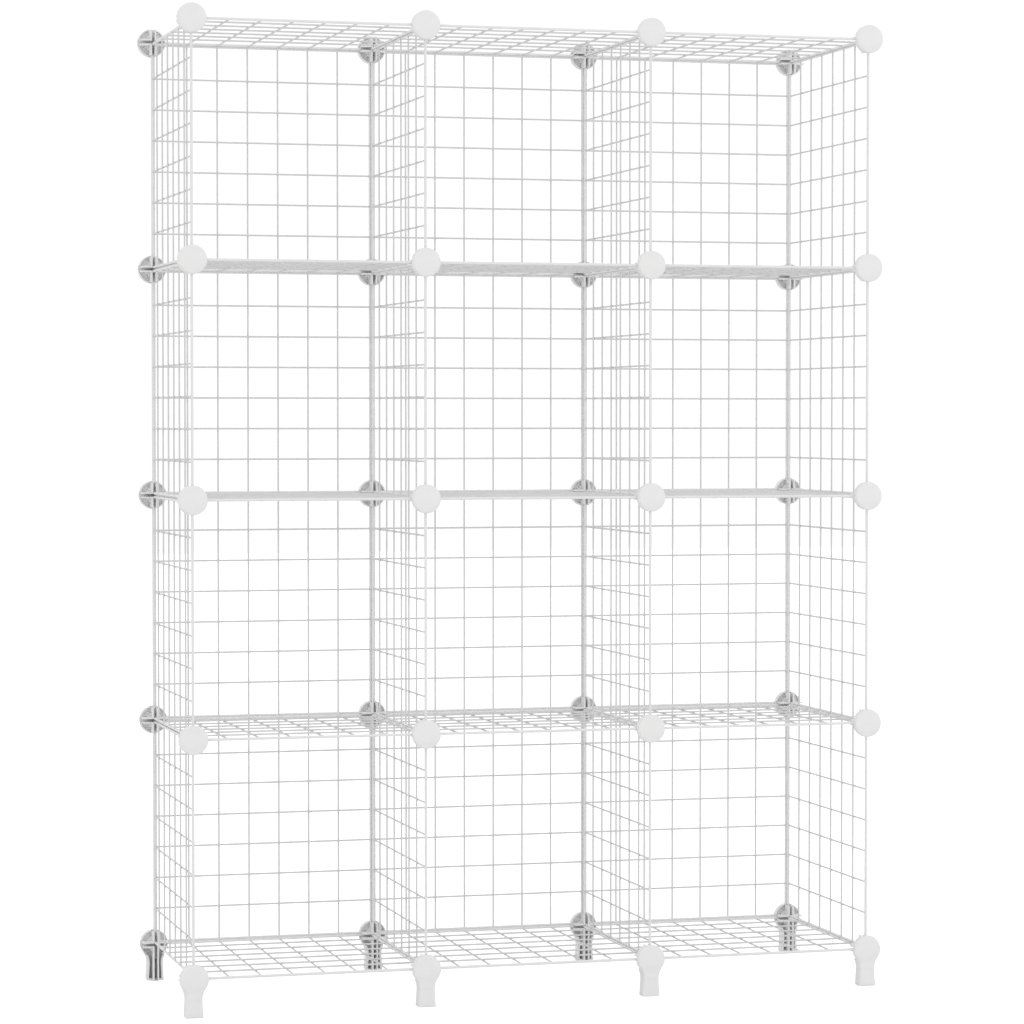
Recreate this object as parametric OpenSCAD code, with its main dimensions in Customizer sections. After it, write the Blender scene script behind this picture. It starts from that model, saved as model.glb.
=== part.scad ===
// Modular cube storage unit: square welded wire panels, held at their corners
// by round moulded connectors. The lowest connectors carry the feet.
// Millimetres, Z up. The open front faces -Y, and the origin is on the floor
// under the middle of the footprint.

/* [Grid] */
// Cubes across the width
columns = 3; // [1:1:3]
// Cubes in the height
rows = 4; // [1:1:4]
// Distance between neighbouring connector centres
pitch = 298; // [292:1:400]
// Height of the lowest connector centres above the floor
foot_height = 48; // [40:1:80]

/* [Wire panels] */
// Diameter of the frame wire round each panel
frame_wire = 3.5; // [2.5:0.1:3.6]
// Diameter of the wires of the grid
grid_wire = 2.3; // [1.4:0.1:2.4]
// Grid wires each way inside the frame
grid_count = 6; // [2:1:8]
// Distance between neighbouring grid wires
grid_pitch = 40.8; // [20:0.1:41]
// Radius of the frame's corner bends, on the wire's centre line
bend_radius = 5.5; // [5:0.1:7]
// Free play between wires that lie side by side
wire_play = 0.1; // [0.05:0.01:0.2]
// Play between the grid's wires where they cross
cross_play = 0.04; // [0.02:0.01:0.1]

/* [Connectors] */
// Radius of the round cap
cap_radius = 18.3; // [17:0.1:22]
// Height of the cap's crown over the wires
crown_height = 8; // [7:0.1:10]
// Height at which the crown meets the rounded edge
shoulder_height = 6.7; // [6:0.1:6.9]
// Radius of the cap's rounded edge
edge_radius = 2.2; // [1:0.1:3]
// Thickness of the cap's outer wall
cap_wall = 1.6; // [1.2:0.1:2]
// How far the outer wall reaches past the wires' outer side
skirt_depth = 3; // [1:0.1:3.4]
// Depth of the gripping walls from the wires' outer side
grip_depth = 17; // [12:0.5:20]
// Radius within which the gripping walls lie
grip_radius = 16.7; // [15:0.1:16.9]
// Thickness of the gripping walls
grip_wall = 2; // [1.4:0.1:2.4]
// Thickness of the ledge that hooks over the back panels' wires
ledge = 1.5; // [1.2:0.1:2]
// Width of play beside a wire in its slot
slot_play = 0.2; // [0.1:0.05:0.3]
// Height of the pockets' floor over the wires' outer side
pocket_floor = 0.6; // [0.2:0.1:3]
// Thickness of the curved feet that carry the gripping walls
base_wall = 1.5; // [1.2:0.1:1.8]
// How far those feet reach along the arms from the middle
hook_reach = 9.5; // [8.5:0.5:12]

/* [Feet] */
// Half width of the leg at its waist
waist_half = 10.2; // [9:0.1:12]
// Half width of the leg at the floor
sole_half = 11.3; // [9:0.1:13]
// Radius of the hollow curve between the cap and the leg
shoulder_radius = 26; // [12:0.5:32]
// Depth of the leg's side walls from the wires' outer side
leg_depth = 10.5; // [6:0.5:14]
// Height of the leg's front face over the wires' outer side
leg_face = 6.2; // [5:0.1:6.5]
// Thickness of the leg's walls
leg_wall = 2.8; // [1.4:0.1:3]
// Thickness of the sole on the floor
sole = 2.4; // [1.2:0.1:3]

/* [Hidden] */
wire_white = "#f2f2f0";
grid_white = "#eaeae8";
plastic_white = "#fafaf8";

levels = rows + 1;
posts = columns + 1;

// Four wires run side by side through each connector, one from each panel
lap = frame_wire + wire_play;
corner_gap = lap / sqrt(2);
panel_side = pitch - 2 * corner_gap;
panel_half = panel_side / 2;

// The back panels lie behind the back wires of the uprights and shelves
back_plane = (panel_side + lap) / 2;
panel_shift = -lap / 2;
cap_face = back_plane + frame_wire / 2 + wire_play;

// Crossing grid wires lie on either side of the panel's middle plane
grid_offset = (grid_wire + cross_play) / 2;

// Slot for one wire, and the wider space under it for two wires side by side
mouth_half = frame_wire / 2 + slot_play;
base_half = corner_gap + frame_wire / 2 + slot_play;
seat_play = 0.05;
bend_play = 0.15;
base_depth = frame_wire + wire_play + seat_play;
base_corner = bend_radius - frame_wire / 2 - bend_play;
pocket_corner = 0.8;

// How deep one moulded wall is rooted in another
root = 0.5;
// How far the leg's ribs reach up under the gripping walls
rib_lap = 2;
// The leg's hollow stays this far below its front and inside the cap's rim
head_front = 1;
head_rim = 0.8;
// Height of the floor of the leg's hollow and of a foot's two lower pockets
leg_floor = leg_face - leg_wall;
// Longer than any part of a connector, for what is cut right through
far = 60;

function level_z(level) = foot_height + (level - 1) * pitch;
function post_x(post) = (post - 1 - columns / 2) * pitch;
function arc(x, y, r, from, to, steps) =
  [for (i = [0:steps]) let (a = from + (to - from) * i / steps) [x + r * cos(a), y + r * sin(a)]];

function upright_name(post, row) = str("upright_panel_p", post, "_r", row);
function shelf_name(column, level) = str("shelf_panel_c", column, "_l", level);
function back_name(column, row) = str("back_panel_c", column, "_r", row);

// ---- Wire panel, flat in XY with its middle at the origin ----

module frame_ring() {
  straight = panel_side - 2 * bend_radius;
  for (side = [0:3])
    rotate([0, 0, 90 * side]) {
      translate([panel_half, 0, 0])
        rotate([90, 0, 0])
          cylinder(h = straight, d = frame_wire, center = true, $fn = 24);
      translate([panel_half - bend_radius, panel_half - bend_radius, 0])
        rotate_extrude(angle = 90, $fn = 48)
          translate([bend_radius, 0])
            circle(d = frame_wire, $fn = 24);
    }
}

module grid_wires() {
  first = -(grid_count - 1) / 2 * grid_pitch;
  for (i = [0:grid_count - 1]) {
    place = first + i * grid_pitch;
    translate([place, 0, grid_offset])
      rotate([90, 0, 0])
        cylinder(h = panel_side, d = grid_wire, center = true, $fn = 16);
    translate([0, place, -grid_offset])
      rotate([0, 90, 0])
        cylinder(h = panel_side, d = grid_wire, center = true, $fn = 16);
  }
}

module panel() {
  color(wire_white) frame_ring();
  color(grid_white) grid_wires();
}

module upright(post, row) {
  translate([post_x(post), panel_shift, level_z(row) + pitch / 2])
    rotate([90, 0, 90])
      panel();
}

module shelf(column, level) {
  translate([post_x(column) + pitch / 2, panel_shift, level_z(level)])
    panel();
}

module back_panel(column, row) {
  translate([post_x(column) + pitch / 2, back_plane, level_z(row) + pitch / 2])
    rotate([90, 0, 0])
      panel();
}

// ---- Connector, its axis along +Z towards the crown ----

// Domed cap with a rounded edge and a short outer wall, still solid
module cap_blank() {
  edge_x = cap_radius - edge_radius;
  edge_z = shoulder_height - edge_radius;
  sag = crown_height - shoulder_height;
  crown_r = (edge_x * edge_x + sag * sag) / (2 * sag);
  crown_from = acos(edge_x / crown_r);
  rotate_extrude($fn = 72)
    polygon(concat(
      [[0, -skirt_depth], [cap_radius, -skirt_depth]],
      arc(edge_x, edge_z, edge_radius, 0, 90, 5),
      [for (p = arc(0, crown_height - crown_r, crown_r, crown_from, 90, 4)) if (p[0] < edge_x - root) p]
    ));
}

// One quarter of the plane beyond two slots, with a rounded inner corner
module quarter(gap, corner) {
  polygon(concat(
    corner > 0 ? arc(gap + corner, gap + corner, corner, 270, 180, 5) : [[gap, gap]],
    [[gap, far], [far, far], [far, gap]]
  ));
}

module quarter_wall(gap, corner, wall) {
  difference() {
    quarter(gap, corner);
    quarter(gap + wall, max(corner - wall, 0));
  }
}

// What lies inside the outer wall and beside the slots, cut from the cap
module pocket_area() {
  intersection() {
    quarter(mouth_half + grip_wall, pocket_corner);
    circle(r = cap_radius - cap_wall, $fn = 72);
  }
}

// Gripping walls of one quarter: a curved foot beside the wide slot, a ledge
// that hooks over it, and a tall wall beside the narrow slot
module grip_quarter(floor_z) {
  hook = base_half + base_wall - mouth_half;
  translate([0, 0, -base_depth - ledge])
    linear_extrude(base_depth + ledge + floor_z + root)
      intersection() {
        quarter_wall(base_half, base_corner, base_wall);
        square(hook_reach);
      }
  translate([0, 0, -base_depth - ledge])
    linear_extrude(ledge)
      intersection() {
        quarter_wall(mouth_half, 0, hook);
        square(hook_reach);
      }
  translate([0, 0, -grip_depth])
    linear_extrude(grip_depth - base_depth)
      intersection() {
        quarter_wall(mouth_half, 0, grip_wall);
        circle(r = grip_radius, $fn = 72);
      }
}

// The cross that the wires lie in, through the outer wall
module wire_cross() {
  difference() {
    translate([-far / 2, -far / 2, -base_depth])
      cube([far, far, base_depth]);
    for (q = [0:3])
      rotate([0, 0, 90 * q])
        translate([0, 0, -far / 2])
          linear_extrude(far)
            quarter(base_half, base_corner);
  }
}

// Cap with its four pockets, the two lower ones as deep as lower_floor
module head(lower_floor) {
  difference() {
    cap_blank();
    for (q = [0:3])
      rotate([0, 0, 90 * q])
        translate([0, 0, -far])
          linear_extrude(far + (q < 2 ? pocket_floor : lower_floor))
            pocket_area();
    wire_cross();
  }
}

module grips(lower_floor) {
  for (q = [0:3])
    rotate([0, 0, 90 * q])
      grip_quarter(q < 2 ? pocket_floor : lower_floor);
}

module connector() {
  head(pocket_floor);
  grips(pocket_floor);
}

// ---- Foot: a connector whose cap runs down into a hollow leg (local -Y) ----

// Right side of the leg's outline from the cap to the floor
function leg_side(inset) =
  let (
    cx = waist_half + shoulder_radius,
    cy = -sqrt(pow(cap_radius + shoulder_radius, 2) - cx * cx),
    from = atan2(-cy, -cx)
  )
  concat(
    arc(cx, cy, shoulder_radius + inset, from, 180, 6),
    [[sole_half - inset, -foot_height]]
  );

module leg_outline(inset) {
  side = leg_side(inset);
  polygon(concat(
    side,
    [for (i = [len(side) - 1:-1:0]) [-side[i][0], side[i][1]]]
  ));
}

module leg() {
  difference() {
    translate([0, 0, -leg_depth])
      linear_extrude(leg_depth + leg_face)
        leg_outline(0);
    // Hollow behind the front wall, above the sole
    translate([0, 0, -far])
      linear_extrude(far + leg_floor)
        difference() {
          leg_outline(leg_wall);
          translate([-far / 2, -foot_height - far + sole])
            square(far);
        }
    // Room for the connector's head
    translate([0, 0, -far])
      cylinder(h = far + leg_face - head_front, r = cap_radius - head_rim, $fn = 72);
  }
}

// The slot's two walls carried down the leg to the sole
module leg_ribs() {
  rib_top = rib_lap - grip_radius;
  for (side = [-1, 1])
    translate([side * (mouth_half + grip_wall / 2), 0, 0])
      translate([-grip_wall / 2, -foot_height, -grip_depth])
        cube([grip_wall, foot_height + rib_top, grip_depth + leg_face - head_front]);
}

// The head of a foot, its lower pockets running on into the leg's hollow
module foot_head() {
  difference() {
    head(leg_floor);
    translate([0, 0, -far])
      linear_extrude(far + leg_floor)
        difference() {
          leg_outline(leg_wall);
          square([2 * (mouth_half + grip_wall), far], center = true);
        }
  }
}

module foot() {
  difference() {
    union() {
      foot_head();
      grips(leg_floor);
      leg();
      leg_ribs();
    }
    // The lower arm of the cross stays open for the upright's wire
    translate([0, 0, -base_depth])
      linear_extrude(base_depth)
        square([2 * base_half, 2 * grip_radius], center = true);
  }
}

// ---- Placing ----

module at_front(post, level) {
  translate([post_x(post), -cap_face, level_z(level)])
    rotate([90, 0, 0])
      children();
}

module at_back(post, level) {
  translate([post_x(post), cap_face, level_z(level)])
    rotate([90, 0, 180])
      children();
}

module front_foot(post) {
  color(plastic_white) at_front(post, 1) foot();
}

module back_foot(post) {
  color(plastic_white) at_back(post, 1) foot();
}

module front_connectors(level) {
  color(plastic_white)
    for (post = [1:posts]) at_front(post, level) connector();
}

module back_connectors(level) {
  color(plastic_white)
    for (post = [1:posts]) at_back(post, level) connector();
}

for (p = [1:posts], r = [1:rows])
  upright(p, r);
for (c = [1:columns], l = [1:levels])
  shelf(c, l);
for (c = [1:columns], r = [1:rows])
  back_panel(c, r);
for (p = [1:posts])
  front_foot(p);
for (p = [1:posts])
  back_foot(p);
for (l = [2:levels])
  front_connectors(l);
for (l = [2:levels])
  back_connectors(l);
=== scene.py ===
import math

import bmesh
import bpy
import numpy as np
from mathutils import Matrix, Vector


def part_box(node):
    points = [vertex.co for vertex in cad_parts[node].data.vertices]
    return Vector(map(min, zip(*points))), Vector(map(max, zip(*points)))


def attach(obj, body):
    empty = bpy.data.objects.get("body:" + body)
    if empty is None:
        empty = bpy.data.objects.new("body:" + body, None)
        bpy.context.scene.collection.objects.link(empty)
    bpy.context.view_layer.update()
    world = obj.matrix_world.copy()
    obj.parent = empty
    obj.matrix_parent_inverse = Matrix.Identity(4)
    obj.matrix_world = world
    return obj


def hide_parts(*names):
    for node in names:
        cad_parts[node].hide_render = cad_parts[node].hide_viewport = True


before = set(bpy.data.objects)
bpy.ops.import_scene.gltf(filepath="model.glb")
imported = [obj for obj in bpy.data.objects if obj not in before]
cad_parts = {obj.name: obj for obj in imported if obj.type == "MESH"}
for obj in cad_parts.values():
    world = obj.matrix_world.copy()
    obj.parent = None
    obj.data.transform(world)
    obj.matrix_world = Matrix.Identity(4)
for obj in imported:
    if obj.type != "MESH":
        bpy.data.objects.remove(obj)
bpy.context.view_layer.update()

# ---------------------------------------------------------------- sizes, in mm

MM = 0.001

# Wire panels: a frame wire round a grid of thinner wires, six each way
FRAME_R = 1.75
GRID_R = 1.15
GRID_COUNT = 6
GRID_PITCH = 40.8
BEND_R = 5.5
WELD_OVERLAP = 0.3
COAT_FILLET = 0.8
SKIN_OVERLAP = 0.12
SKIN_SEARCH = 2.0
# The frame wire's butt weld: places along the wire, and how far it stands out there
BUTT_WELD = ((-3.2, 0), (-1.9, 0.07), (-0.8, 0.16), (0.8, 0.16), (1.9, 0.07), (3.2, 0))
# Where a grid wire has rings: beside each crossing, and about the frame's inner side
CROSSING_RINGS = (-2.6, -1.7, -1.1, -0.55, 0, 0.55, 1.1, 1.7, 2.6)
END_RINGS = (-2.4, -1.4, -0.8, -0.35, 0.05, 0.7)

# Connectors, seen along their axis: +Z is the crown, 0 the wires' outer side
CAP_R = 18.3
CROWN = 8.0
CROWN_SAG = 1.3
EDGE_R = 2.2
CAP_WALL = 1.6
HEAD_RIM = 0.8
SKIRT = 3.0
GRIP_DEPTH = 17.0
GRIP_R = 16.7
GRIP_WALL = 2.0
LEDGE = 1.5
MOUTH_HALF = 1.95
BASE_HALF = 4.5
BASE_CORNER = 3.6
BASE_DEPTH = 3.65
BASE_WALL = 1.5
POCKET_FLOOR = 0.6
POCKET_CORNER = 0.8
HOOK_REACH = 9.5
PIN_MARK_AT = 9.8
PIN_MARK_R = 1.3
PIN_MARK_DEPTH = 0.15
ROUNDING = 0.28

# Feet
WAIST_HALF = 10.2
SOLE_HALF = 11.3
SHOULDER_R = 26.0
NECK_Y = -25.5
NECK_STEP = 0.5
NECK_BLEND = 1.2
LEG_DEPTH = 10.5
LEG_FACE = 6.2
LEG_CROWN = 0.35
LEG_START = 3.5
LEG_WALL = 2.8
SOLE = 2.4
SOLE_CORNER = 1.2
SOLE_EDGE = 1.0
EDGE_BLEND = (12, 3)  # heights above the floor between which the edge gets smaller
FACE_BLEND = (9, 22)  # depths below the cap's middle between which the dome ends
RIB_RISE = 0.6  # from the floor to the lower ends of the ribs
RIB_LAP = 2.0  # from the lower ends of the grips to the upper ends of the ribs
SLOT_LAP = 2.2

# How far parts that are joined run into each other, so that no two faces coincide
WALL_LAP = 0.5
LEDGE_LAP = 0.2
GRIP_LAP = 0.1
RIB_SETBACK = 0.05
END_SETBACK = 0.02
FRONT_LAP = 1.0

# How far cutters reach: sideways past the head but not down to a foot's sole, and
# in depth past everything
REACH = 40.0
FAR = 60.0

# ------------------------------------------------------- coats, lights and camera

# Frame wire coat: the shared white powder coat made lighter on the frame wires, as painted
# light
FRAME_COAT_PAINTED_LIGHT = ((0.79, 0.79, 0.785), (0.75, 0.753, 0.755))
# Grid wire coat: the same white powder coat made darker on the thinner wires, as painted
# shade
GRID_COAT_PAINTED_SHADE = ((0.67, 0.67, 0.667), (0.625, 0.628, 0.632))
PLASTIC = ((0.81, 0.81, 0.805), (0.785, 0.787, 0.787))
FLOOR_GREY = 0.88
FLOOR_GLOW = 0.4
FLOOR_HALF = 14.0
SURROUNDINGS = 1.0
BACKDROP = 1.05
KEY_AT = (2.6, -4.6, 1.7)
KEY_AIM = (0, 0, 0.6)
KEY_WIDTH = 2.5
KEY_POWER = 16
# The camera's place in modules from the middle of the unit, and its angles in degrees
CAMERA_AT = (-3.9676, -14.3288, 0.3428)
CAMERA_TURN = 15.546
CAMERA_TILT = -1.604
SENSOR = 36.0
LENS = 118.26

# ------------------------------------------------------- places, from the frame


def middle(node):
    low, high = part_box(node)
    return (low + high) / 2


def size(node):
    low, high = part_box(node)
    return high - low


POSTS = range(1, 5)
COLUMNS = range(1, 4)
ROWS = range(1, 5)
LEVELS = range(1, 6)
post_x = {p: middle(f"upright_panel_p{p}_r1").x for p in POSTS}
level_z = {n: middle(f"shelf_panel_c1_l{n}").z for n in LEVELS}
foot_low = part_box("front_foot_1")[0]
FOOT_HEIGHT = (level_z[1] - foot_low.z) / MM
CAP_FACE = -foot_low.y - CROWN * MM
PANEL_HALF = size("shelf_panel_c1_l1").x / 2 / MM - FRAME_R

# --------------------------------------------------------------- mesh building


def add_object(name, data):
    item = bpy.data.objects.new(name, data)
    bpy.context.scene.collection.objects.link(item)
    return item


def to_mesh(name, build, scale=MM):
    """A mesh from a bmesh in mm, its normals outwards, and in metres unless scale is 1."""
    bmesh.ops.recalc_face_normals(build, faces=build.faces)
    bmesh.ops.scale(build, vec=(scale, scale, scale), verts=build.verts)
    mesh = bpy.data.meshes.new(name)
    build.to_mesh(mesh)
    build.free()
    return mesh


def add_rings(build, rings, closed=False, last=True):
    """Joins rings of points, one after the other, into a tube. It runs round into
    itself if closed, or else has a face over its first end and, if asked, its last."""
    loops = [[build.verts.new(p) for p in ring] for ring in rings]
    count = len(loops[0])
    pairs = list(zip(loops, loops[1:]))
    if closed:
        pairs.append((loops[-1], loops[0]))
    for one, two in pairs:
        for i in range(count):
            j = (i + 1) % count
            build.faces.new((one[i], one[j], two[j], two[i]))
    if not closed:
        build.faces.new(loops[0])
        if last:
            build.faces.new(loops[-1])
    return loops


def add_strip(build, loop):
    """Closes a loop whose two halves mirror each other, with faces across it."""
    count = len(loop)
    for i in range(count // 2):
        corners = [loop[i], loop[i + 1], loop[count - i - 1], loop[(count - i) % count]]
        build.faces.new(list(dict.fromkeys(corners)))


def arc(x, y, r, start, end, steps):
    angles = np.radians(np.linspace(start, end, steps + 1))
    return [(x + r * math.cos(a), y + r * math.sin(a)) for a in angles]


def circle(x, y, r, count):
    return arc(x, y, r, 0, 360 - 360 / count, count - 1)


def box_outline(left, right, bottom, top):
    return [(left, bottom), (right, bottom), (right, top), (left, top)]


# ------------------------------------------------------------------ wire panel


def frame_rings(sides=20, bend_steps=8):
    """Rings of the frame wire, with the low bead of its butt weld in one side."""
    corner = PANEL_HALF - BEND_R
    path = []
    for side in range(4):
        for i in range(bend_steps + 1):
            a = math.radians(90 * side + 90 * i / bend_steps)
            turn = Matrix.Rotation(math.radians(90 * side), 2)
            centre = turn @ Vector((corner, corner))
            out = Vector((math.cos(a), math.sin(a)))
            path.append((centre + out * BEND_R, out, FRAME_R))
        if side == 2:
            for along, swell in BUTT_WELD:
                centre = Vector((along, -PANEL_HALF))
                path.append((centre, Vector((0, -1)), FRAME_R + swell))
    angles = [2 * math.pi * k / sides for k in range(sides)]
    rings = []
    for centre, out, radius in path:
        spots = [centre + out * radius * math.cos(a) for a in angles]
        rings.append([(*spot, radius * math.sin(a)) for spot, a in zip(spots, angles)])
    return rings


def blend_min(one, two, reach):
    """The smaller of two distances, rounded where they are close."""
    near = np.maximum(reach - np.abs(one - two), 0)
    return np.minimum(one, two) - near * near / (4 * reach)


def grid_wire_rings(sides=12):
    """Rings of one grid wire along X over the panel's middle. At each crossing and at
    the frame its skin swells into the fillet that the weld and the coat leave."""
    height = GRID_R - WELD_OVERLAP / 2
    crossings = (np.arange(GRID_COUNT) - (GRID_COUNT - 1) / 2) * GRID_PITCH
    end = [PANEL_HALF - FRAME_R + step for step in END_RINGS]
    stations = [c + step for c in crossings for step in CROSSING_RINGS]
    stations += end + [-e for e in end]
    along = np.array(sorted(stations))[:, None]
    turn = np.radians(-90 + 360 * np.arange(sides) / sides)[None, :]

    def outside(t):
        z = height + t * np.sin(turn)
        own = t - GRID_R + 0 * along
        cross = np.min([np.hypot(along - c, z + height) for c in crossings], axis=0) - GRID_R
        side = np.hypot(np.abs(along) - PANEL_HALF, z) - FRAME_R
        other = np.minimum(cross, side)
        return np.maximum(blend_min(own, other, COAT_FILLET), own - other - SKIN_OVERLAP)

    # The skin is found by halving, between the bare wire and well past any fillet
    low = np.full((along.shape[0], sides), GRID_R)
    high = low + SKIN_SEARCH
    met = outside(low) >= 0
    halvings = 24
    for _ in range(halvings):
        half = (low + high) / 2
        inside = outside(half) < 0
        low = np.where(inside, half, low)
        high = np.where(inside, high, half)
    reach = np.where(met, GRID_R, low)
    x = np.broadcast_to(along, reach.shape)
    return np.stack([x, reach * np.cos(turn), height + reach * np.sin(turn)], -1), crossings


def panel_mesh():
    build = bmesh.new()
    add_rings(build, frame_rings(), closed=True)
    frame_faces = len(build.faces)
    rings, places = grid_wire_rings()
    for place in places:
        across = rings + np.array([0, place, 0])
        add_rings(build, across)
        # The other layer is the same wire turned to run along Y, on the lower side
        lower = rings[..., [1, 0, 2]] * np.array([1, 1, -1]) + np.array([place, 0, 0])
        add_rings(build, lower)
    mesh = to_mesh("wire_panel", build)
    # The frame wire's coat is lightened as painted light; it is the same powder coat as the
    # grid wires'
    mesh.materials.append(powder_coat("frame_wire_coat_painted_light", *FRAME_COAT_PAINTED_LIGHT))
    # The grid wires' coat is darkened as painted shade; it is the same powder coat as the
    # frame's
    mesh.materials.append(powder_coat("grid_wire_coat_painted_shade", *GRID_COAT_PAINTED_SHADE))
    for face in mesh.polygons:
        face.use_smooth = True
        face.material_index = 0 if face.index < frame_faces else 1
    return mesh


# ------------------------------------------------------------------- connector


def to_solid(build):
    """A temporary object from a bmesh, still in mm."""
    return add_object("solid", to_mesh("solid", build, 1))


def prism(outline, low, high):
    """A temporary solid between two heights over an outline."""
    build = bmesh.new()
    add_rings(build, [[(x, y, z) for x, y in outline] for z in (low, high)])
    return to_solid(build)


def combine(base, tools, operation):
    """Applies boolean tools to base one after the other and deletes them."""
    for tool in tools:
        change = base.modifiers.new("cut", "BOOLEAN")
        change.operation = operation
        change.solver = "MANIFOLD"
        change.object = tool
        apply_modifiers(base)
        discard(tool)
    return base


def apply_modifiers(solid):
    done = bpy.data.meshes.new_from_object(
        solid.evaluated_get(bpy.context.evaluated_depsgraph_get())
    )
    solid.modifiers.clear()
    old = solid.data
    solid.data = done
    bpy.data.meshes.remove(old)


def discard(solid):
    mesh = solid.data
    bpy.data.objects.remove(solid)
    bpy.data.meshes.remove(mesh)


def rounded_corner(gap, corner, steps=8):
    """The inner corner of a quarter that starts gap away from both axes."""
    if corner <= 0:
        return [(gap, gap)]
    return arc(gap + corner, gap + corner, corner, 180, 270, steps)


def quarter_outline(gap, corner, radius, steps=14):
    """The part of a disc beyond gap from both axes."""
    start = math.degrees(math.asin(gap / radius))
    return arc(0, 0, radius, start, 90 - start, steps) + rounded_corner(gap, corner)


def hook_outline(gap, corner, wall, reach):
    """The wall round the inner corner of a quarter, as far as reach along both arms."""
    return (
        [(reach, gap), (reach, gap + wall)]
        + rounded_corner(gap + wall, max(corner - wall, 0))[::-1]
        + [(gap + wall, reach), (gap, reach)]
        + rounded_corner(gap, corner)
    )


def wall_outline(gap, corner, wall, radius):
    """An L-shaped wall round the inner corner of a quarter, its ends on a circle."""
    outer = math.degrees(math.asin(gap / radius))
    inner = math.degrees(math.asin((gap + wall) / radius))
    return (
        arc(0, 0, radius, outer, inner, 2)
        + rounded_corner(gap + wall, max(corner - wall, 0))[::-1]
        + arc(0, 0, radius, 90 - inner, 90 - outer, 2)
        + rounded_corner(gap, corner)
    )


def turned(outline, quarter):
    a = math.radians(90 * quarter)
    return [
        (x * math.cos(a) - y * math.sin(a), x * math.sin(a) + y * math.cos(a))
        for x, y in outline
    ]


def cross_outline():
    corner = rounded_corner(BASE_HALF, BASE_CORNER)[::-1]
    arms = [(REACH, BASE_HALF)] + corner + [(BASE_HALF, REACH)]
    return [point for quarter in range(4) for point in turned(arms, quarter)]


def smooth_step(value, start, end):
    t = min(max((value - start) / (end - start), 0), 1)
    return t * t * (3 - 2 * t)


def face_height(x, y):
    """Height of the moulded front: a shallow dome whose lower part runs into a barely
    crowned leg, with a low step down at a foot's neck."""
    dome = CROWN - CROWN_SAG * (x * x + y * y) / (CAP_R - EDGE_R) ** 2
    share = smooth_step(-y, *FACE_BLEND)
    leg = LEG_FACE - LEG_CROWN * (x / WAIST_HALF) ** 2
    step = NECK_STEP * smooth_step(NECK_Y - y, -NECK_BLEND, NECK_BLEND)
    return dome * (1 - share) + leg * share - step


def blank(outline, back, spine=0.0, edge_steps=6, face_steps=12):
    """A closed solid over a symmetric outline, with a domed front and a rounded edge
    that is smaller round a foot's sole. The front's rings close in on a line that
    runs down by spine from the middle of the cap."""
    points = np.array(outline)
    chord = np.roll(points, -1, axis=0) - np.roll(points, 1, axis=0)
    chord /= np.linalg.norm(chord, axis=1)[:, None]
    outward = np.stack([chord[:, 1], -chord[:, 0]], -1)
    blend = [FOOT_HEIGHT - height for height in EDGE_BLEND]
    near_sole = np.array([smooth_step(-y, *blend) for x, y in points])
    edge = EDGE_R + (SOLE_EDGE - EDGE_R) * near_sole
    rings = [[(x, y, back) for x, y in points]]
    for step in range(edge_steps + 1):
        a = math.radians(90 * step / edge_steps)
        ring = points - outward * (edge * (1 - math.cos(a)))[:, None]
        drops = edge * (1 - math.sin(a))
        rings.append([(x, y, face_height(x, y) - drop) for (x, y), drop in zip(ring, drops)])
    last = points - outward * edge[:, None]
    # Points on the upper part of the cap close in on its middle, the others further down
    upper = CAP_R / 3
    along = np.clip((-points[:, 1] - upper) / max(spine - upper, 1), 0, 1)
    ends = np.stack([0 * along, -spine * along], -1)
    inmost = 0.05
    for share in np.linspace(1, inmost, face_steps + 1)[1:]:
        ring = ends + (last - ends) * share
        rings.append([(x, y, face_height(x, y)) for x, y in ring])
    build = bmesh.new()
    add_strip(build, add_rings(build, rings, last=False)[-1])
    return to_solid(build)


def floors(lower):
    """The height of each quarter's pocket floor, two upper and two lower ones."""
    return enumerate((POCKET_FLOOR, POCKET_FLOOR, lower, lower))


def cut_head(solid, lower=POCKET_FLOOR):
    """Pockets with their ejector-pin marks, and the cross that the wires lie in."""
    pocket = quarter_outline(MOUTH_HALF + GRIP_WALL, POCKET_CORNER, CAP_R - CAP_WALL)
    mark = circle(PIN_MARK_AT, PIN_MARK_AT, PIN_MARK_R, 24)
    tools = []
    for q, floor_z in floors(lower):
        tools.append(prism(turned(pocket, q), -FAR, floor_z))
        tools.append(prism(turned(mark, q), floor_z - FRONT_LAP, floor_z + PIN_MARK_DEPTH))
    tools.append(prism(cross_outline(), -BASE_DEPTH, 0))
    return combine(solid, tools, "DIFFERENCE")


def add_grips(solid, lower=POCKET_FLOOR):
    """The four hooked walls that hold the wires."""
    hook = BASE_HALF + BASE_WALL - MOUTH_HALF
    base = hook_outline(BASE_HALF, BASE_CORNER, BASE_WALL, HOOK_REACH)
    ledge = hook_outline(MOUTH_HALF, 0, hook, HOOK_REACH - END_SETBACK)
    tall = wall_outline(MOUTH_HALF, 0, GRIP_WALL, GRIP_R - 2 * END_SETBACK)
    ledge_z = -BASE_DEPTH - LEDGE
    tools = []
    for q, floor_z in floors(lower):
        tools.append(prism(turned(base, q), ledge_z + LEDGE_LAP, floor_z + WALL_LAP))
        tools.append(prism(turned(ledge, q), ledge_z, -BASE_DEPTH))
        tools.append(prism(turned(tall, q), -GRIP_DEPTH, -BASE_DEPTH - GRIP_LAP))
    return combine(solid, tools, "UNION")


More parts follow.
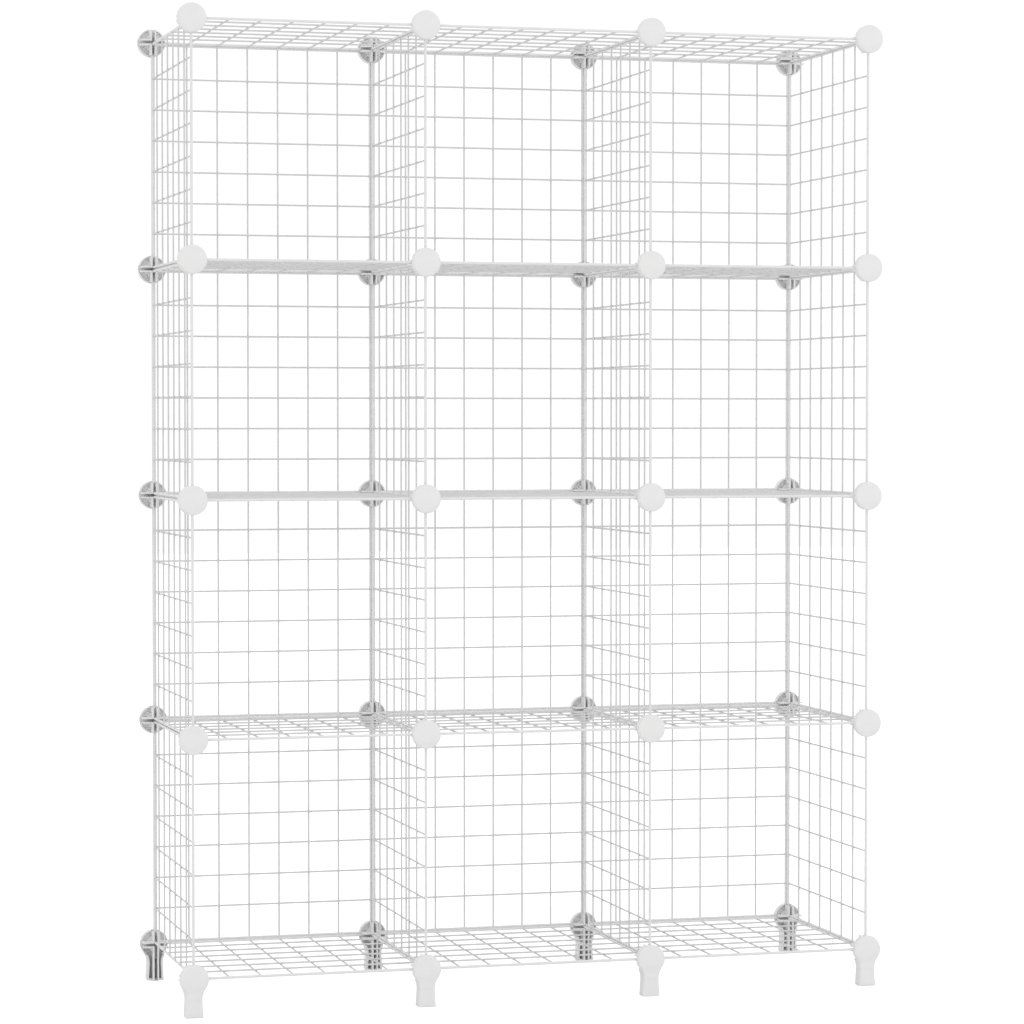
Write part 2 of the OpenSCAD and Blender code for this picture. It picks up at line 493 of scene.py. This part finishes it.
def finish_moulding(solid, name):
    """Rounds the moulding's edges slightly and turns it into a mesh in metres."""
    rounding = solid.modifiers.new("edges", "BEVEL")
    rounding.width = ROUNDING
    rounding.segments = 2
    rounding.limit_method = "ANGLE"
    rounding.angle_limit = math.radians(40)
    rounding.use_clamp_overlap = True
    apply_modifiers(solid)
    build = bmesh.new()
    build.from_mesh(solid.data)
    same = 1e-4
    bmesh.ops.remove_doubles(build, verts=build.verts, dist=same)
    bmesh.ops.dissolve_degenerate(build, edges=build.edges, dist=same)
    discard(solid)
    mesh = to_mesh("plain", build)
    mesh.shade_smooth()
    mesh.set_sharp_from_angle(angle=math.radians(32))
    shell = add_object("plain", mesh)
    flatten = shell.modifiers.new("normals", "WEIGHTED_NORMAL")
    flatten.keep_sharp = True
    apply_modifiers(shell)
    mesh = shell.data
    mesh.name = name
    bpy.data.objects.remove(shell)
    return mesh


def connector_mesh():
    head = blank(circle(0, 0, CAP_R, 96), -SKIRT)
    return finish_moulding(add_grips(cut_head(head)), "connector")


def shoulder_centre():
    """Centre of the hollow curve that touches the cap and the leg's waist."""
    cx = WAIST_HALF + SHOULDER_R
    return cx, -math.sqrt((CAP_R + SHOULDER_R) ** 2 - cx * cx)


def foot_outline():
    """Outline of the cap running down by hollow shoulders into the leg."""
    cx, cy = shoulder_centre()
    touch = math.degrees(math.atan2(-cy, -cx))
    leave = math.degrees(math.atan2(cy, cx))
    right = arc(cx, cy, SHOULDER_R, 180, touch, steps=24)[:-1]
    cap = arc(0, 0, CAP_R, leave, 180 - leave, steps=90)
    left = [(-x, y) for x, y in right[::-1]]
    bottom = -FOOT_HEIGHT
    lean = (SOLE_HALF - WAIST_HALF) / (FOOT_HEIGHT + cy)
    waist_gap = 0.5
    down = np.linspace(bottom + 2 * SOLE_CORNER, cy - waist_gap, 40)
    flank = [(WAIST_HALF + lean * (cy - y), y) for y in down]
    inner = SOLE_HALF - SOLE_CORNER
    corner = arc(inner, bottom + SOLE_CORNER, SOLE_CORNER, 270, 360, steps=5)
    half_sole = [(x, bottom) for x in np.linspace(0, inner, 8)[:-1]]
    right_side = half_sole + corner + flank + right
    left_side = [(-x, y) for x, y in (half_sole[1:] + corner + flank)[::-1]]
    return right_side + cap + left + left_side


def hollow_outline(inset):
    """Outline of the room inside the leg's walls, above its sole."""
    cx, cy = shoulder_centre()
    touch = math.degrees(math.atan2(-cy, -cx))
    side = arc(cx, cy, SHOULDER_R + inset, touch, 180, steps=8)
    side.append((SOLE_HALF - inset, -FOOT_HEIGHT + SOLE))
    return [(-x, y) for x, y in side] + side[::-1]


def foot_mesh():
    """The head of a connector whose cap runs down into a hollow leg, open behind."""
    solid = blank(foot_outline(), -LEG_DEPTH, FOOT_HEIGHT - WAIST_HALF)
    # Above the leg's side walls, and over the head, only the skirt's depth is left
    leg_top = shoulder_centre()[1] * CAP_R / (CAP_R + SHOULDER_R) - LEG_START
    above = prism(box_outline(-REACH, REACH, leg_top, REACH), -FAR, -SKIRT)
    head_room = prism(circle(0, 0, CAP_R - HEAD_RIM, 72), -FAR, -SKIRT)
    solid = combine(solid, [above, head_room], "DIFFERENCE")
    # The leg's hollow and the lower pockets are one room beside the slot's walls
    floor_z = LEG_FACE - LEG_WALL
    hollow = prism(hollow_outline(LEG_WALL), -FAR, floor_z)
    arm_half = MOUTH_HALF + GRIP_WALL
    arm = prism(box_outline(-arm_half, arm_half, -CAP_R, 0), -2 * FAR, FAR)
    hollow = combine(hollow, [arm], "DIFFERENCE")
    solid = combine(solid, [hollow], "DIFFERENCE")
    solid = add_grips(cut_head(solid, floor_z), floor_z)
    ribs = []
    for left in (-arm_half, MOUTH_HALF):
        rib = box_outline(left, left + GRIP_WALL, RIB_RISE - FOOT_HEIGHT, RIB_LAP - GRIP_R)
        ribs.append(prism(rib, RIB_SETBACK - GRIP_DEPTH, LEG_FACE - FRONT_LAP))
    solid = combine(solid, ribs, "UNION")
    # The wires' seat stays clear where the ribs run into the grips
    slot = box_outline(-BASE_HALF, BASE_HALF, -GRIP_R - SLOT_LAP, 0)
    solid = combine(solid, [prism(slot, -BASE_DEPTH, 0)], "DIFFERENCE")
    return finish_moulding(solid, "foot")


# ------------------------------------------------------------------- materials


def shader(name):
    material = bpy.data.materials.new(name)
    material.use_nodes = True
    tree = material.node_tree
    return material, tree, tree.nodes["Principled BSDF"]


def noise(tree, place, scale, detail):
    node = tree.nodes.new("ShaderNodeTexNoise")
    node.inputs["Scale"].default_value = scale
    node.inputs["Detail"].default_value = detail
    tree.links.new(place, node.inputs["Vector"])
    return node.outputs["Fac"]


def spread(tree, source, low, high):
    """Maps a noise's middle range to low..high."""
    node = tree.nodes.new("ShaderNodeMapRange")
    node.inputs["From Min"].default_value = 0.3
    node.inputs["From Max"].default_value = 0.7
    node.inputs["To Min"].default_value = low
    node.inputs["To Max"].default_value = high
    tree.links.new(source, node.inputs["Value"])
    return node.outputs["Result"]


def tint(tree, share, one, two):
    node = tree.nodes.new("ShaderNodeMix")
    node.data_type = "RGBA"
    node.inputs["A"].default_value = (*one, 1)
    node.inputs["B"].default_value = (*two, 1)
    tree.links.new(share, node.inputs["Factor"])
    return node.outputs["Result"]


def bump(tree, height, strength, distance):
    node = tree.nodes.new("ShaderNodeBump")
    node.inputs["Strength"].default_value = strength
    node.inputs["Distance"].default_value = distance
    tree.links.new(height, node.inputs["Height"])
    return node.outputs["Normal"]


def powder_coat(name, thick, thin):
    """White powder coat on steel wire: faint orange peel and thinner, cooler patches."""
    material, tree, skin = shader(name)
    place = tree.nodes.new("ShaderNodeTexCoord").outputs["Object"]
    patches = noise(tree, place, scale=55, detail=3)
    peel = noise(tree, place, scale=900, detail=2)
    colour = tint(tree, spread(tree, patches, low=0, high=1), thick, thin)
    tree.links.new(colour, skin.inputs["Base Color"])
    tree.links.new(spread(tree, peel, low=0.36, high=0.48), skin.inputs["Roughness"])
    tree.links.new(bump(tree, peel, strength=0.25, distance=0.00006), skin.inputs["Normal"])
    skin.inputs["IOR"].default_value = 1.5
    return material


def moulded_plastic():
    """White injection-moulded plastic: fine spark-eroded grain, faint flow clouding."""
    material, tree, skin = shader("white_moulded_plastic")
    place = tree.nodes.new("ShaderNodeTexCoord").outputs["Object"]
    flow = noise(tree, place, scale=70, detail=3)
    grain = noise(tree, place, scale=2600, detail=2)
    colour = tint(tree, spread(tree, flow, low=0, high=1), *PLASTIC)
    tree.links.new(colour, skin.inputs["Base Color"])
    tree.links.new(spread(tree, grain, low=0.42, high=0.55), skin.inputs["Roughness"])
    tree.links.new(bump(tree, grain, strength=0.3, distance=0.00003), skin.inputs["Normal"])
    skin.inputs["IOR"].default_value = 1.46
    return material


# --------------------------------------------------------------------- placing


def place(name, mesh, matrix, slot, node):
    piece = add_object(name, mesh)
    piece.matrix_world = matrix
    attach(piece, "root")
    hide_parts(node)


def axes(x, y, z, at):
    """A matrix that sends the mesh's own axes along x, y and z, and its origin to at."""
    turn = Matrix((x, y, z)).transposed()
    return Matrix.Translation(at) @ turn.to_4x4()


def place_panel(name, node, turn):
    place(name, wire_panel, axes(*turn, middle(node)), "wire", node)


RIGHT = Vector((1, 0, 0))
BACK = Vector((0, 1, 0))
UP = Vector((0, 0, 1))

wire_panel = panel_mesh()
for p in POSTS:
    for r in ROWS:
        node = f"upright_panel_p{p}_r{r}"
        place_panel(f"panel_upright_p{p}_r{r}", node, (BACK, UP, RIGHT))
for c in COLUMNS:
    for n in LEVELS:
        node = f"shelf_panel_c{c}_l{n}"
        place_panel(f"panel_shelf_c{c}_l{n}", node, (RIGHT, BACK, UP))
    for r in ROWS:
        node = f"back_panel_c{c}_r{r}"
        place_panel(f"panel_back_c{c}_r{r}", node, (RIGHT, UP, -BACK))

plastic = moulded_plastic()
connector = connector_mesh()
foot = foot_mesh()
for moulding in (connector, foot):
    moulding.materials.clear()
    moulding.materials.append(plastic)
FACES = {"front": (RIGHT, -BACK), "back": (-RIGHT, BACK)}
for face, (across, outward) in FACES.items():
    for p in POSTS:
        for n in LEVELS:
            at = Vector((post_x[p], 0, level_z[n])) + outward * CAP_FACE
            matrix = axes(across, UP, outward, at)
            if n == 1:
                place(f"foot_{face}_p{p}", foot, matrix, "connector", f"{face}_foot_{p}")
            else:
                group = f"{face}_connectors_level_{n}"
                place(f"connector_{face}_p{p}_l{n}", connector, matrix, "connector", group)

# ------------------------------------------------------------ floor and lights


def studio_floor():
    """A plain pale floor, bright enough to run into the white backdrop."""
    mesh = bpy.data.meshes.new("floor")
    outline = box_outline(-FLOOR_HALF, FLOOR_HALF, -FLOOR_HALF, FLOOR_HALF)
    mesh.from_pydata([(x, y, 0) for x, y in outline], [], [(0, 1, 2, 3)])
    floor = add_object("floor", mesh)
    material, tree, skin = shader("pale_floor")
    skin.inputs["Base Color"].default_value = (FLOOR_GREY, FLOOR_GREY, FLOOR_GREY, 1)
    skin.inputs["Roughness"].default_value = 0.9
    skin.inputs["Specular IOR Level"].default_value = 0
    skin.inputs["Emission Color"].default_value = (1, 1, 1, 1)
    seen = tree.nodes.new("ShaderNodeLightPath")
    glow = tree.nodes.new("ShaderNodeMath")
    glow.operation = "MULTIPLY"
    glow.inputs[1].default_value = FLOOR_GLOW
    tree.links.new(seen.outputs["Is Camera Ray"], glow.inputs[0])
    tree.links.new(glow.outputs[0], skin.inputs["Emission Strength"])
    mesh.materials.append(material)


def area_light(name, at, aim, width, power):
    data = bpy.data.lights.new(name, "AREA")
    data.shape = "SQUARE"
    data.size = width
    data.energy = power
    lamp = add_object(name, data)
    lamp.location = at
    lamp.rotation_euler = (Vector(aim) - Vector(at)).to_track_quat("-Z", "Y").to_euler()


def studio_light():
    """White surroundings all round, and a large soft key from the front right."""
    world = bpy.data.worlds.new("studio")
    bpy.context.scene.world = world
    world.use_nodes = True
    tree = world.node_tree
    light = tree.nodes["Background"]
    light.inputs["Color"].default_value = (1, 1, 1, 1)
    light.inputs["Strength"].default_value = SURROUNDINGS
    backdrop = tree.nodes.new("ShaderNodeBackground")
    seen = tree.nodes.new("ShaderNodeLightPath")
    either = tree.nodes.new("ShaderNodeMixShader")
    tree.links.new(seen.outputs["Is Camera Ray"], either.inputs["Fac"])
    tree.links.new(light.outputs[0], either.inputs[1])
    tree.links.new(backdrop.outputs[0], either.inputs[2])
    tree.links.new(either.outputs[0], tree.nodes["World Output"].inputs["Surface"])
    backdrop.inputs["Color"].default_value = (1, 1, 1, 1)
    backdrop.inputs["Strength"].default_value = BACKDROP
    area_light("key", KEY_AT, KEY_AIM, KEY_WIDTH, KEY_POWER)
    bpy.context.scene.view_settings.view_transform = "Standard"


# ---------------------------------------------------------------------- camera


def photo_camera():
    """Far in front of the unit and to its left, looking very slightly down."""
    module = post_x[2] - post_x[1]
    centre = Vector((0, 0, level_z[3]))
    turn = math.radians(CAMERA_TURN)
    tilt = math.radians(CAMERA_TILT)
    data = bpy.data.cameras.new("camera")
    data.sensor_width = SENSOR
    data.lens = LENS
    data.clip_end = 200
    camera = add_object("camera", data)
    camera.location = centre + module * Vector(CAMERA_AT)
    look = Vector((
        math.sin(turn) * math.cos(tilt),
        math.cos(turn) * math.cos(tilt),
        math.sin(tilt),
    ))
    camera.rotation_euler = look.to_track_quat("-Z", "Y").to_euler()
    bpy.context.scene.camera = camera


studio_floor()
studio_light()
photo_camera()
